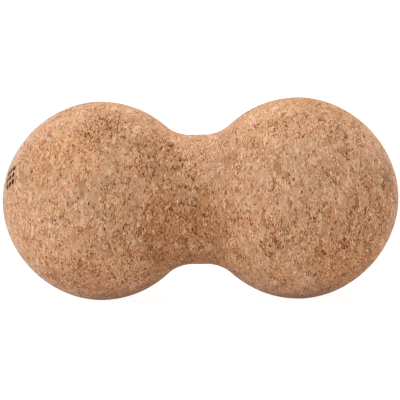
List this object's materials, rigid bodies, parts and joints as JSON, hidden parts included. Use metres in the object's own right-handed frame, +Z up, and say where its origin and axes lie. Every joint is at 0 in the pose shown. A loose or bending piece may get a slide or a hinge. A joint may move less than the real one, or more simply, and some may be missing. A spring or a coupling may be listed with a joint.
{
  "type": "double massage ball",
  "caption": "Peanut-shaped double massage ball turned from agglomerated cork, with a narrow waist between two balls and a small burnt mark of plain dots.",
  "frame": {"origin": "on the resting plane, under the middle of the waist", "axes": "+Z up, X along the long axis with the burnt mark on the -X ball, -Y the side the mark is turned to"},
  "size_m": [0.16, 0.08, 0.08],
  "materials": {
    "cork": "matte, bare agglomerated cork"
  },
  "bodies": {
    "root": {"cork_body": "cork"}
  },
  "joints": []
}
